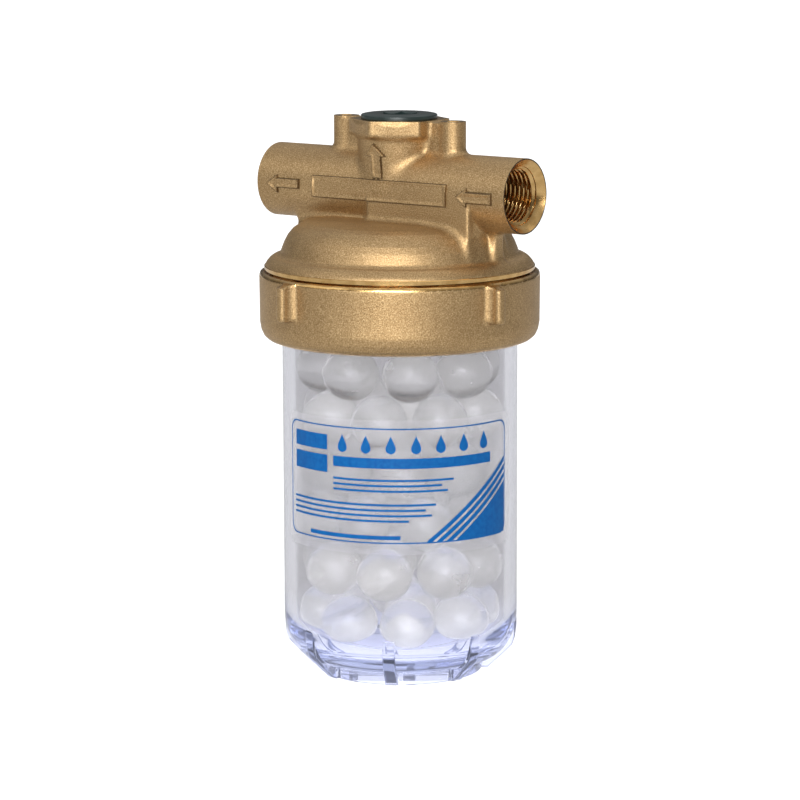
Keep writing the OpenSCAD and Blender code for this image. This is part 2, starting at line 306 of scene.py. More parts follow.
def paint_faces(piece, materials, choose):
    """Gives each face the material that choose(centres in mm, normals) says."""
    mesh = piece.data
    mesh.materials.clear()
    for material in materials:
        mesh.materials.append(material)
    centres = np.zeros(len(mesh.polygons) * 3)
    normals = np.zeros(len(mesh.polygons) * 3)
    mesh.polygons.foreach_get("center", centres)
    mesh.polygons.foreach_get("normal", normals)
    index = choose(centres.reshape(-1, 3) / MM, normals.reshape(-1, 3))
    mesh.polygons.foreach_set("material_index", index.astype(np.int32))
    mesh.update()


def hand_over(piece, body, slot, *nodes):
    """Puts a finished piece on its CAD body, in place of its CAD nodes."""
    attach(piece, body)
    if nodes:
        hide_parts(*nodes)
    return piece


# ---------------------------------------------------------------- materials


class Nodes:
    """Small helper that builds one material's node tree."""

    def __init__(self, name):
        self.material = bpy.data.materials.new(name)
        self.material.use_nodes = True
        self.tree = self.material.node_tree
        self.tree.nodes.clear()
        self.out = self.add("ShaderNodeOutputMaterial")
        self.place = self.add("ShaderNodeTexCoord").outputs["Object"]

    def add(self, kind, **values):
        node = self.tree.nodes.new(kind)
        for key, value in values.items():
            setattr(node, key, value)
        return node

    def link(self, source, target):
        self.tree.links.new(source, target)

    def noise(self, scale, detail=2.0, roughness=0.5, stretch=None):
        node = self.add("ShaderNodeTexNoise")
        node.inputs["Scale"].default_value = scale
        node.inputs["Detail"].default_value = detail
        node.inputs["Roughness"].default_value = roughness
        if stretch:
            mapping = self.add("ShaderNodeMapping")
            mapping.inputs["Scale"].default_value = stretch
            self.link(self.place, mapping.inputs["Vector"])
            self.link(mapping.outputs["Vector"], node.inputs["Vector"])
        else:
            self.link(self.place, node.inputs["Vector"])
        return node.outputs["Fac"]

    def cells(self, scale, feature="F1"):
        node = self.add("ShaderNodeTexVoronoi", feature=feature)
        node.inputs["Scale"].default_value = scale
        self.link(self.place, node.inputs["Vector"])
        return node.outputs["Distance"]

    def ramp(self, source, *stops):
        node = self.add("ShaderNodeValToRGB")
        while len(node.color_ramp.elements) < len(stops):
            node.color_ramp.elements.new(0.5)
        for element, (place, colour) in zip(node.color_ramp.elements, stops):
            element.position = place
            element.color = (*colour, 1) if len(colour) == 3 else colour
        self.link(source, node.inputs["Fac"])
        return node.outputs["Color"]

    def span(self, source, low, high):
        node = self.add("ShaderNodeMapRange")
        node.inputs["To Min"].default_value = low
        node.inputs["To Max"].default_value = high
        self.link(source, node.inputs["Value"])
        return node.outputs["Result"]

    def mix(self, kind, factor, a, b):
        node = self.add("ShaderNodeMix", data_type="RGBA", blend_type=kind)
        node.inputs["Factor"].default_value = factor
        self.link(a, node.inputs["A"])
        self.link(b, node.inputs["B"])
        return node.outputs["Result"]

    def bump(self, height, strength, distance, below=None):
        node = self.add("ShaderNodeBump")
        node.inputs["Strength"].default_value = strength
        node.inputs["Distance"].default_value = distance
        self.link(height, node.inputs["Height"])
        if below:
            self.link(below, node.inputs["Normal"])
        return node.outputs["Normal"]

    def surface(self, links=(), **values):
        """Principled shader with plain values and linked inputs, wired to the output."""
        shader = self.add("ShaderNodeBsdfPrincipled")
        for key, value in values.items():
            shader.inputs[key.replace("_", " ")].default_value = value
        for key, source in dict(links).items():
            self.link(source, shader.inputs[key])
        self.link(shader.outputs["BSDF"], self.out.inputs["Surface"])
        return shader

    def let_light_through(self, shader, tint):
        """Shadow rays pass the surface with a tint, so that what is behind it is lit."""
        path = self.add("ShaderNodeLightPath")
        clear = self.add("ShaderNodeBsdfTransparent")
        clear.inputs["Color"].default_value = (*tint, 1)
        mix = self.add("ShaderNodeMixShader")
        self.link(path.outputs["Is Shadow Ray"], mix.inputs["Fac"])
        self.link(shader.outputs["BSDF"], mix.inputs[1])
        self.link(clear.outputs["BSDF"], mix.inputs[2])
        self.link(mix.outputs["Shader"], self.out.inputs["Surface"])


def cast_brass_material(name, tint):
    """Sandblasted brass: fine bright grain over a soft change of tone."""
    n = Nodes(name)
    grain = n.noise(2500, 3, 0.65)
    pits = n.cells(1900)
    tone = n.noise(55, 4, 0.6)
    speckle = n.ramp(grain, (0.34, (0.30, 0.19, 0.085)), (0.50, (0.46, 0.305, 0.145)),
                     (0.68, (0.70, 0.51, 0.28)))
    patches = n.ramp(tone, (0.30, (0.86 * tint, 0.84 * tint, 0.82 * tint)), (0.70, (tint, tint, tint)))
    colour = n.mix("MULTIPLY", 1.0, speckle, patches)
    normal = n.bump(pits, 0.2, 0.00015, n.bump(grain, 0.35, 0.0002))
    n.surface({"Base Color": colour, "Roughness": n.span(grain, 0.38, 0.58), "Normal": normal},
              Metallic=0.9, IOR=1.5)
    return n.material


def machined_brass_material():
    """Turned brass: bright, with fine tool lines round the axis."""
    n = Nodes("machined_brass_look")
    lines = n.noise(90, 2, 0.5, stretch=(1, 1, 40))
    smear = n.noise(260, 3, 0.6)
    colour = n.ramp(smear, (0.35, (0.56, 0.34, 0.125)), (0.65, (0.76, 0.50, 0.21)))
    normal = n.bump(lines, 0.2, 0.0001)
    n.surface({"Base Color": colour, "Roughness": n.span(smear, 0.16, 0.27), "Normal": normal},
              Metallic=1.0)
    return n.material


def dark_rim_material():
    """Dark brown saw-cut rim at a port's mouth, seen as a thin dark line round the mouth."""
    n = Nodes("dark_rim_look")
    smear = n.noise(400, 3, 0.6)
    colour = n.ramp(smear, (0.35, (0.035, 0.022, 0.012)), (0.7, (0.10, 0.065, 0.035)))
    n.surface({"Base Color": colour, "Roughness": n.span(smear, 0.4, 0.6)}, Metallic=0.8)
    return n.material


def plug_material():
    """Dark green-black moulded plastic, slightly glossy, with a fine skin."""
    n = Nodes("plug_look")
    skin = n.noise(1300, 2, 0.5)
    wear = n.noise(160, 4, 0.6)
    colour = n.ramp(wear, (0.35, (0.010, 0.019, 0.019)), (0.7, (0.024, 0.040, 0.038)))
    n.surface({"Base Color": colour, "Roughness": n.span(wear, 0.28, 0.42),
               "Normal": n.bump(skin, 0.08, 0.00015)}, IOR=1.5)
    return n.material


def rubber_material():
    """Black seal rubber with a faint bloom."""
    n = Nodes("rubber_look")
    bloom = n.noise(500, 4, 0.6)
    colour = n.ramp(bloom, (0.35, (0.012, 0.012, 0.012)), (0.7, (0.03, 0.03, 0.031)))
    n.surface({"Base Color": colour, "Roughness": n.span(bloom, 0.55, 0.75),
               "Normal": n.bump(bloom, 0.1, 0.0002)})
    return n.material


def inner_plastic_material():
    """White moulded plastic with a faint flow pattern."""
    n = Nodes("inner_plastic_look")
    flow = n.noise(120, 3, 0.5, stretch=(1, 1, 0.3))
    skin = n.noise(900, 2, 0.5)
    colour = n.ramp(flow, (0.3, (0.70, 0.70, 0.67)), (0.7, (0.84, 0.84, 0.81)))
    n.surface({"Base Color": colour, "Roughness": n.span(skin, 0.36, 0.5),
               "Normal": n.bump(skin, 0.06, 0.0002)}, IOR=1.5)
    return n.material


def clear_bowl_material():
    """Clear moulded plastic, with the slight waves of a moulding and a cool tint. Its base colour is
    painted shade, greyer up the wall, and its lower part has a faint painted glow.
    """
    n = Nodes("clear_bowl_look")
    waves = n.noise(28, 2, 0.4, stretch=(1, 1, 0.35))
    haze = n.noise(700, 3, 0.6)
    split = n.add("ShaderNodeSeparateXYZ")
    n.link(n.place, split.inputs["Vector"])
    height = n.add("ShaderNodeMapRange")
    height.inputs["From Min"].default_value = 0.010
    height.inputs["From Max"].default_value = 0.030
    n.link(split.outputs["Z"], height.inputs["Value"])
    # Base colour by height: darker grey up the wall, which is painted shade for the darker inside seen
    # through it, and lighter lavender towards the foot.
    wall_shade_by_height = n.ramp(height.outputs["Result"], (0.0, (0.80, 0.81, 0.90)), (1.0, (0.61, 0.60, 0.605)))
    # Lavender emission towards the foot: a painted glow that stands in for light scattered in the
    # plastic.
    bloom = n.ramp(height.outputs["Result"], (0.0, (0.50, 0.53, 0.68)), (0.5, (0.0, 0.0, 0.0)))
    shader = n.surface({"Base Color": wall_shade_by_height, "Roughness": n.span(haze, 0.015, 0.06),
                        "Normal": n.bump(waves, 0.06, 0.0006), "Emission Color": bloom},
                       Transmission_Weight=1.0, IOR=1.49, Emission_Strength=0.13)
    n.let_light_through(shader, (0.96, 0.96, 0.98))
    body = n.add("ShaderNodeVolumeAbsorption")
    body.inputs["Color"].default_value = (0.48, 0.54, 0.74, 1)
    body.inputs["Density"].default_value = 26.0
    n.link(body.outputs["Volume"], n.out.inputs["Volume"])
    return n.material


def ball_material():
    """Milky glass of a dosing ball: frosted skin with clearer and cloudier parts, and a faint painted
    glow.
    """
    n = Nodes("ball_look")
    cloud = n.noise(95, 4, 0.6)
    frost = n.noise(900, 3, 0.6)
    colour = n.ramp(cloud, (0.32, (0.90, 0.90, 0.88)), (0.66, (0.98, 0.975, 0.955)))
    # The faint warm-white emission is a painted glow, standing in for light scattered inside the balls.
    shader = n.surface({"Base Color": colour, "Roughness": n.span(cloud, 0.10, 0.36),
                        "Transmission Weight": n.span(cloud, 0.97, 0.78),
                        "Normal": n.bump(frost, 0.10, 0.0003)},
                       IOR=1.38, Emission_Color=(1.0, 0.99, 0.96, 1), Emission_Strength=0.035)
    n.let_light_through(shader, (0.96, 0.96, 0.955))
    return n.material


def film_material():
    """Clear glossy label film."""
    n = Nodes("label_film_look")
    crinkle = n.noise(140, 3, 0.5)
    shader = n.surface({"Roughness": n.span(crinkle, 0.16, 0.26),
                        "Normal": n.bump(crinkle, 0.08, 0.0002)},
                       Base_Color=(0.97, 0.97, 0.98, 1), Transmission_Weight=1.0, IOR=1.25)
    n.let_light_through(shader, (0.93, 0.94, 0.96))
    return n.material


def ink_material():
    """Printed blue, a little uneven as screen print is."""
    n = Nodes("label_ink_look")
    print_grain = n.noise(600, 3, 0.6)
    colour = n.ramp(print_grain, (0.35, (0.002, 0.085, 0.300)), (0.65, (0.004, 0.115, 0.360)))
    n.surface({"Base Color": colour, "Roughness": n.span(print_grain, 0.4, 0.55)},
              Specular_IOR_Level=0.15)
    return n.material


CAST_BRASS = cast_brass_material("cast_brass_look", 1.0)
# A darker copy of the cast brass, laid along the relief outlines as painted shade.
SHADED_BRASS = cast_brass_material("shaded_brass_look", 0.42)
MACHINED = machined_brass_material()
DARK_RIM = dark_rim_material()
PLUG_LOOK = plug_material()
RUBBER = rubber_material()
INNER_PLASTIC = inner_plastic_material()
CLEAR_BOWL = clear_bowl_material()
BALL_LOOK = ball_material()
FILM = film_material()
INK = ink_material()

# ---------------------------------------------------------------- head

TUBE_R = 13.2
NECK_R = 12.6
NECK_TAPER = 0.13
BOSS_R = 4.4
HEX_CORNER_R = 16.28
HEX_ROUNDING = 1.5
HEXAGON = [(HEX_CORNER_R * math.cos(a), HEX_CORNER_R * math.sin(a))
           for a in (math.radians(60 * k + 30) for k in range(6))]
DOME = [
    (0, 146.2), (47.9, 146.2), (47.9, 147.0), (47.4, 148.0), (46.2, 149.4), (45.0, 150.2),
    (43.6, 150.5), (42.5, 151.3), (41.9, 153.0), (41.0, 155.3), (39.7, 157.7), (38.0, 159.7),
    (35.6, 161.3), (32.5, 162.3), (24.0, 163.2), (0, 163.2),
]
CUT_OVER = 2  # how far the casting runs on past the faces that are cut flat
WEB_FOOT = 150


def casting(x, y, z):
    """Cast outside of the head above its flange."""
    rho = np.hypot(x, y)
    tube = np.maximum(np.hypot(y, z - PORT_Z) - TUBE_R, np.abs(x) - HALF_SPAN - CUT_OVER)
    cone = (rho - NECK_R - NECK_TAPER * (z - PORT_Z)) * 0.992
    neck = np.maximum(cone, np.maximum(PORT_Z - 9 - z, z - 197))
    hexagon = polygon_distance(HEXAGON, x, y) - HEX_ROUNDING
    collar = extrude(hexagon, z, COLLAR_Z - 6, COLLAR_Z + CUT_OVER, 1.3)
    boss = np.maximum(np.hypot(np.abs(x) - BOSS_X, y) - BOSS_R,
                      np.maximum(PORT_Z - z, z - COLLAR_Z - CUT_OVER))
    boss_web = extrude(np.maximum(np.abs(y) - 3.8, np.abs(x) - BOSS_X), z, PORT_Z, COLLAR_Z - 0.5, 0.5)
    top = round_union(round_union(neck, collar, 1.6), round_union(boss, boss_web, 1.2), 1.8)
    upper = round_union(tube, top, 2.2)
    out_web = box_flat(x, y, -41, 0, -8, 8, 3)
    in_web = np.minimum(box_flat(x, y, 0, 39.5, -9.5, 9.5, 3), box_flat(x, y, 0, 43.5, -2.6, 2.6, 1.2))
    webs = np.minimum(np.minimum(out_web, in_web), rho - 11)
    block = box_flat(x, y, -5, 39.2, -TUBE_R, 0, 1.0)
    between = np.maximum(WEB_FOOT - z, z - PORT_Z)
    foot = np.maximum(round_union(webs, block, 2.0), between)
    webs = np.maximum(webs, between)
    body = np.minimum(round_union(upper, webs, 2.5), foot)
    return round_union(body, polygon_distance(DOME, rho, z), 2.6)


ARROW_OUT = [(-49.5, 174.0), (-44.7, 170.8), (-44.7, 172.8), (-35.0, 172.8), (-35.0, 176.0),
             (-44.7, 176.0), (-44.7, 177.2)]
ARROW_IN = [(33.9, 174.0), (38.4, 170.7), (38.4, 172.2), (48.9, 172.2), (48.9, 175.9),
            (38.4, 175.9), (38.4, 177.2)]
ARROW_UP = [(-0.3, 190.7), (-4.5, 186.4), (-1.7, 186.4), (-1.7, 178.7), (2.35, 178.7),
            (2.35, 186.4), (4.2, 186.4)]
PANEL = [(-29.0, 170.3), (29.8, 170.3), (29.8, 178.0), (-29.0, 178.0)]
RELIEF_H = 0.45
RELIEF_BRIM = 0.8
BRIM_H = 0.35
HEAD_CELL = 0.62
RELIEF_CELL = 0.27


def relief_outline(x, z):
    """Distance from the outlines of the flow arrows and the blank panel, seen from the front."""
    return np.minimum(
        np.minimum(polygon_distance(ARROW_OUT, x, z), polygon_distance(ARROW_IN, x, z)),
        np.minimum(polygon_distance(ARROW_UP, x, z), polygon_distance(PANEL, x, z)))


def reliefs(x, y, z):
    """Raised flow arrows and a blank raised panel on the front of the casting."""
    outline = relief_outline(x, z)
    skin = casting(x, y, z)
    brim = np.clip(1.6 + outline / RELIEF_BRIM, 0, 1)
    raised = extrude(outline, skin - brim * BRIM_H, -9, RELIEF_H, 0.12)
    return np.maximum(raised, np.maximum(-1.2 - skin, y + 6))


def head_flange():
    """Machined flange and the threaded skirt that the lock ring screws onto."""
    rows = [(131.0, 43.9), (131.8, 44.7)]
    rows += thread_rows(132.0, 143.6, 44.7, 1.2, 1.5, 0.4)
    rows += [(145.25, 44.7), (145.3, 47.6), (145.5, 47.9), (145.85, 47.9), (145.9, 48.2),
             (146.8, 48.2), (147.0, 48.0), (147.0, 46.0)]
    return turned(rows, 192, pitch=RING_PITCH)


def head_bore():
    """Space over the bowl, bore of the dosing insert and bore of the plug."""
    rows = [(130.0, 37.6), (147.0, 37.6), (150.5, 36.5), (154.0, 33.0), (156.5, 26.0), (156.5, 7.8),
            (186.0, 7.8), (186.0, 10.28), (197.2, 10.28), (197.2, 12.6), (201.0, 12.6)]
    return turned(rows, 128)


PIPE_PITCH = 1.814
PIPE_MINOR_R = 9.315
PIPE_DEPTH = 1.165
PASSAGE_R = 7.5


def port_cutter(side):
    """Mouth chamfer, pipe thread and passage of one port. The thread opens out at the mouth."""
    mouth = HALF_SPAN - 2.3
    lead = 1.2
    rows = [(6.0, PASSAGE_R), (35.5, PASSAGE_R), (37.0, PIPE_MINOR_R)]
    for z, radius, height in thread_rows(37.2, mouth + 0.9, PIPE_MINOR_R, PIPE_DEPTH, 0.9, 0.2):
        opened = min(1, max(0, (z - mouth + lead) / lead))
        if z < mouth - 0.05:
            rows.append((z, radius + PIPE_DEPTH * opened, height * (1 - opened)))
    rows += [(mouth, 10.6), (mouth + 0.8, 11.45), (HALF_SPAN, 12.75), (HALF_SPAN + 1, 13.95)]
    return laid_along_x(turned(rows, 120, pitch=PIPE_PITCH), side)


def boss_cutter(side):
    """Tapped bracket hole."""
    rows = [(COLLAR_Z - 11.5, 0.3), (COLLAR_Z - 11, 2.1)]
    rows += thread_rows(COLLAR_Z - 10.8, COLLAR_Z - 0.3, 2.1, 0.4, 0.5, 0.1)
    rows += [(COLLAR_Z - 0.2, 2.35), (COLLAR_Z + 1, 3.2)]
    points, faces = turned(rows, 36, pitch=0.8)
    return points + [side * BOSS_X, 0, 0], faces


def head_finish(centre, normal):
    """0 as cast, 1 machined, 2 on the rims of the ports and 3 for painted shade along the edges of the
    reliefs.
    """
    x, y, z = centre.T
    rho = np.hypot(x, y)
    port = (np.abs(x) > 36) & (np.hypot(y, z - PORT_Z) < 13.05)
    top = (z > COLLAR_Z - 0.05) & (normal[:, 2] > 0.9)
    bore = (rho < 12.8) & (z > 185) | (np.hypot(np.abs(x) - BOSS_X, y) < 3) & (z > 187)
    flange = (z < 147.02) & (rho > 43)
    rim = (np.abs(x) > HALF_SPAN - 0.01) & (np.abs(normal[:, 0]) > 0.9)
    # Faces along the relief outlines get the darker brass: painted shade round the arrows and the panel.
    edge = (np.abs(relief_outline(x, z)) < 0.18) & (y < -8) & (rho > 12.9)
    return np.where(rim, 2, np.where(edge & ~port, 3, port | top | bore | flange))


def build_head():
    """The brass head: casting, reliefs and flange joined, then cut flat and bored."""
    margin = 3 * HEAD_CELL
    head = make_object("brass_head", *surface_net(
        casting, (-HALF_SPAN - CUT_OVER - margin, -50, 146.2 - margin),
        (HALF_SPAN + CUT_OVER + margin, 50, COLLAR_Z + CUT_OVER + margin), HEAD_CELL))
    raised = make_object("raised", *surface_net(
        reliefs, (-51, -18.5, 168), (51, -4.5, 192.5), RELIEF_CELL))
    combine(head, raised, "UNION")
    combine(head, make_object("flange", *head_flange()), "UNION")
    room = block_shape((-HALF_SPAN, -60, 120), (HALF_SPAN, 60, COLLAR_Z))
    combine(head, make_object("room", *room), "INTERSECT")
    combine(head, make_object("bore", *head_bore()), "DIFFERENCE")
    for side in (-1, 1):
        combine(head, make_object("port", *port_cutter(side)), "DIFFERENCE")
        combine(head, make_object("tapping", *boss_cutter(side)), "DIFFERENCE")
    paint_faces(head, [CAST_BRASS, MACHINED, DARK_RIM, SHADED_BRASS], head_finish)
    shade(head)
    return hand_over(head, "housing", "cast_brass", "head")


# ---------------------------------------------------------------- lock ring

RING_SECTION = [
    (42.0, RING_FOOT + 0.3), (42.6, RING_FOOT), (45.0, RING_FOOT), (47.0, RING_FOOT + 0.7),
    (48.5, RING_FOOT + 2.0), (49.4, RING_FOOT + 4.0), (49.85, RING_FOOT + 6.5), (50.0, RING_TOP - 1.5),
    (49.6, RING_TOP - 0.45), (48.6, RING_TOP), (42.0, RING_TOP),
]
RING_CELL = 0.62
LUG_ANGLE = math.radians(76.6 - 90)
LUG_OUT = 55.1
LUG_HALF_W = 2.0
LUG_FOOT = RING_TOP - 14.2
LUG_ROOT_R = 49.6
LUG_ROOF_SLOPE = 0.27


def ring_casting(x, y, z):
    """Cast outside of the lock ring with its four lugs."""
    rho = np.hypot(x, y)
    turn = np.arctan2(y, x) - LUG_ANGLE
    quarter = math.pi / 2
    turn = (turn + quarter / 2) % quarter - quarter / 2
    out, across = rho * np.cos(turn), rho * np.sin(turn)
    bar = box_flat(out, across, 44, LUG_OUT, -LUG_HALF_W, LUG_HALF_W, 1.6)
    plan = np.maximum(round_union(rho - LUG_ROOT_R, bar, 3.5), 44 - rho)
    roof = RING_TOP - 0.6 - LUG_ROOF_SLOPE * (rho - LUG_ROOT_R)
    lugs = np.maximum(extrude(plan, z, LUG_FOOT, RING_TOP + 5, 1.3), (z - roof) * 0.96)
    return np.minimum(lugs, polygon_distance(RING_SECTION, rho, z))


def ring_bore():
    """Opening for the bowl, internal thread and mouth."""
    shoulder = RING_FOOT + 4.3
    rows = [(RING_FOOT - 1, 43.1), (RING_FOOT, 43.1), (RING_FOOT + 0.4, 42.75), (shoulder, 42.75),
            (shoulder, 46.35), (131.0, 46.35)]
    rows += thread_rows(131.2, 143.0, 46.35, 0.95, 1.2, 0.4)
    rows += [(143.1, 46.35), (143.1, 47.3), (143.8, 47.3), (RING_TOP, 48.5), (RING_TOP + 1, 49.5)]
    return turned(rows, 192, pitch=RING_PITCH)


def ring_finish(centre, normal):
    """1 where the lock ring is machined, 0 where it is as cast."""
    rho = np.hypot(centre[:, 0], centre[:, 1])
    lug_roof = (centre[:, 2] > RING_TOP - 3) & (rho > 49.9) & (normal[:, 2] > 0.85)
    top = (centre[:, 2] > RING_TOP - 1.25) & (rho < 50.2) | lug_roof
    return top | (rho < 47.45) & (centre[:, 2] > RING_FOOT + 0.3) | (rho < 43.2)


def build_lock_ring():
    """The lock ring: cast outside with lugs, then bored and threaded."""
    margin = 3 * RING_CELL
    ring = make_object("brass_lock_ring", *surface_net(
        ring_casting, (-LUG_OUT - margin, -LUG_OUT - margin, RING_FOOT - margin),
        (LUG_OUT + margin, LUG_OUT + margin, RING_TOP + margin), RING_CELL))
    combine(ring, make_object("ring_bore", *ring_bore()), "DIFFERENCE")
    paint_faces(ring, [CAST_BRASS, MACHINED], ring_finish)
    shade(ring)
    return hand_over(ring, "ring", "ring_brass", "lock_ring")


# ---------------------------------------------------------------- plug

SOCKET_CORNER_R = 6.93


def build_plug():
    """The top plug: threaded shank, rounded flange and hex socket with a lead-in."""
    top = PLUG_HI[2]
    rows = [(PLUG_LO[2], 8.3), (PLUG_LO[2] + 0.7, 8.95)]
    rows += thread_rows(PLUG_LO[2] + 0.8, COLLAR_Z - 0.9, 9.0, 1.15, 0.9, 0.2)
    rows += [(COLLAR_Z - 0.8, 9.0), (COLLAR_Z, 9.0), (COLLAR_Z, 13.35), (COLLAR_Z + 0.2, 13.55)]
    rows += [(top - 0.75 + 0.55 * math.sin(a), 13.0 + 0.55 * math.cos(a))
             for a in np.linspace(0, math.pi / 2, 6)]
    rows += [(top - 0.2, 12.4), (top, 12.1), (top, 8.1)]
    plug = make_object("hex_plug", *turned(rows, 128, pitch=PIPE_PITCH), PLUG_LOOK)
    flats = [(top - 6.5, SOCKET_CORNER_R), (top - 6.4, SOCKET_CORNER_R), (top + 1, SOCKET_CORNER_R)]
    socket = make_object("socket", *turned(flats, 6))
    combine(plug, socket, "DIFFERENCE")
    lead = make_object("lead", *turned([(top - 0.8, 5.9), (top, 6.9), (top + 1, 7.9)], 96))
    combine(plug, lead, "DIFFERENCE")
    shade(plug)
    return hand_over(plug, "plug", "plug_plastic", "top_plug")


# ---------------------------------------------------------------- bowl

BOWL_R = 42.0
INNER_R = 37.6
FLOOR_Z = 11.0
RIB_COUNT = 8
RIB_HALF_W = 2.25
RIB_ANGLE = math.radians(30.5 - 90)


def arc(centre_r, centre_z, run, drop, steps):
    """Rows of an elliptical quarter round, from its foot up."""
    return [(centre_z - drop * math.cos(a), centre_r + run * math.sin(a))
            for a in np.linspace(0, math.pi / 2, steps + 1)]


def bowl_outside():
    """Foot ring, round shoulder, wall and flange of the bowl."""
    rim_foot = RING_FOOT + 5.3
    rows = [(0.0, 28.9), (0.15, 29.3), (0.6, 29.5), (4.6, 30.0)]
    rows += arc(31.0, 20.7, 11.0, 15.7, 20)
    rows += [(z, BOWL_R) for z in np.linspace(28, rim_foot - 0.6, 14)]
    rows += [(rim_foot - 0.2, BOWL_R + 0.1), (rim_foot, BOWL_R + 0.4), (rim_foot, 45.1),
             (rim_foot + 0.3, 45.4), (RIM_TOP - 0.3, 45.4), (RIM_TOP, 45.1), (RIM_TOP, 44.0)]
    return turned(rows, 192)


def rib(angle):
    """One rib under the bowl, with rounded edges."""
    outline = [(27.0, 0.4), (31.6, 0.4), (36.2, 4.7), (40.6, 9.2), (41.5, 12.0), (41.95, 16.0),
               (41.95, 19.0), (35.6, 19.0), (27.0, 5.0)]
    points = [(r, side * RIB_HALF_W, z) for side in (-1, 1) for r, z in outline]
    count = len(outline)
    faces = [list(range(count)), list(range(2 * count - 1, count - 1, -1))]
    faces += [(i, i + count, (i + 1) % count + count, (i + 1) % count) for i in range(count)]
    piece = make_object("rib", points, faces)
    edges = piece.modifiers.new("edges", "BEVEL")
    edges.width, edges.segments, edges.limit_method = 0.55 * MM, 3, "ANGLE"
    apply_modifiers(piece)
    piece.data.transform(Matrix.Rotation(angle, 4, "Z"))
    return piece


def build_bowl():
    """The clear bowl: outside and ribs joined, then its inside, foot recess and seal groove cut."""
    bowl = make_object("clear_bowl_shell", *bowl_outside(), CLEAR_BOWL)
    for k in range(RIB_COUNT):
        combine(bowl, rib(RIB_ANGLE + 2 * math.pi * k / RIB_COUNT), "UNION")
    inside = arc(INNER_R - 11, FLOOR_Z + 11, 11, 11, 16)
    inside += [(z, INNER_R) for z in np.linspace(30, RIM_TOP - 0.5, 12)]
    inside += [(RIM_TOP + 0.6, INNER_R + 0.8)]
    combine(bowl, make_object("inside", *turned(inside, 192)), "DIFFERENCE")
    recess = [(-1, 26.0), (0.2, 25.8), (3.0, 25.6), (3.6, 25.2), (3.8, 24.6)]
    combine(bowl, make_object("recess", *turned(recess, 128)), "DIFFERENCE")
    groove = [(RIM_TOP + 1, 39.5), (RIM_TOP - 2.6, 39.5), (RIM_TOP - 2.6, 43.1), (RIM_TOP + 1, 43.1)]
    combine(bowl, make_object("groove", *turned(groove, 128, closed_loop=True)), "DIFFERENCE")
    shade(bowl, math.radians(32))
    return hand_over(bowl, "bowl_group", "clear_bowl", "bowl")


# ---------------------------------------------------------------- dosing balls


def ball_centres(node):
    """Centres and radius of the balls in a CAD node, from its separate shells."""
    mesh = frame["nodes"][node].data
    shape = bmesh.new()
    shape.from_mesh(mesh)
    bmesh.ops.remove_doubles(shape, verts=shape.verts, dist=1e-5)
    todo, centres, radius = set(shape.verts), [], 0
    while todo:
        group, edge = set(), [todo.pop()]
        while edge:
            vert = edge.pop()
            group.add(vert)
            for link in vert.link_edges:
                other = link.other_vert(vert)
                if other in todo:
                    todo.discard(other)
                    edge.append(other)
        spots = np.array([vert.co for vert in group]) / MM
        centres.append((spots.max(0) + spots.min(0)) / 2)
        radius = (spots.max(0) - spots.min(0)).max() / 2
    shape.free()
    return sorted(centres, key=lambda c: (round(c[2], 1), round(math.atan2(c[1], c[0]), 3))), radius


BALL_LUMPS, BALL_FLATS, BALL_DIMPLES = 5, 3, 7
FLAT_EDGE = 0.12  # rounding between a flat and the ball


def random_axis(dice):
    """Random direction."""
    axis = dice.normal(size=3)
    return axis / np.linalg.norm(axis)


def ball(centre, radius, seed):
    """One cast ball: slightly out of round, with a few flats and shallow dimples."""
    source = bmesh.new()
    bmesh.ops.create_icosphere(source, subdivisions=5, radius=1.0)
    directions = np.array([vert.co for vert in source.verts])
    faces = [[vert.index for vert in face.verts] for face in source.faces]
    source.free()
    dice = np.random.default_rng(seed)
    height = np.full(len(directions), radius)
    for _ in range(BALL_LUMPS):
        axis = random_axis(dice)
        height -= 0.10 * (0.5 + 0.5 * np.cos(2.3 * directions @ axis * dice.uniform(1, 2)))
    for _ in range(BALL_FLATS):
        axis = random_axis(dice)
        depth = dice.uniform(0.25, 0.7)
        facing = directions @ axis
        flat = (radius - depth) / np.maximum(facing, 0.05)
        height = -FLAT_EDGE * np.log(
            np.exp(-height / FLAT_EDGE) + np.exp(-np.minimum(flat, 4 * radius) / FLAT_EDGE))
    for _ in range(BALL_DIMPLES):
        axis = random_axis(dice)
        width = dice.uniform(0.06, 0.16)
        height -= dice.uniform(0.10, 0.32) * np.exp(-((1 - directions @ axis) / width ** 2))
    return centre + directions * np.minimum(height, radius)[:, None], faces


def build_balls():
    """One piece for each CAD layer of balls, with every ball shaped on its own."""
    names = [f"ball_layer_{i}" for i in range(1, 7)] + ["ball_column"]
    for group, node in enumerate(names):
        points, faces, total = [], [], 0
        centres, radius = ball_centres(node)
        for k, centre in enumerate(centres):
            spots, skin = ball(centre, radius, 100 * group + k + 7)
            points.append(spots)
            faces += [[i + total for i in face] for face in skin]
            total += len(spots)
        piece = make_object(node.replace("ball_", "dosing_balls_"), np.concatenate(points), faces,
                            BALL_LOOK)
        shade(piece, math.pi)
        hand_over(piece, "bowl_group", "dosing_glass", node)


# ---------------------------------------------------------------- label

LABEL_R = 42.25
FILM_T = 0.14
INK_T = 0.05
CAMERA_AZIMUTH = 36.5
LABEL_FOOT, LABEL_TOP = LABEL_LO[2], LABEL_HI[2]
LABEL_SIDES = (-66.5, 64.0)  # degrees from the reading direction
PRINT_R = LABEL_R + FILM_T + 0.01


def on_label(side, height, radius):
    """Point on the label: side is an angle in degrees from the label's reading direction."""
    turn = math.radians(side + CAMERA_AZIMUTH - 90)
    return (radius * math.cos(turn), radius * math.sin(turn), height)


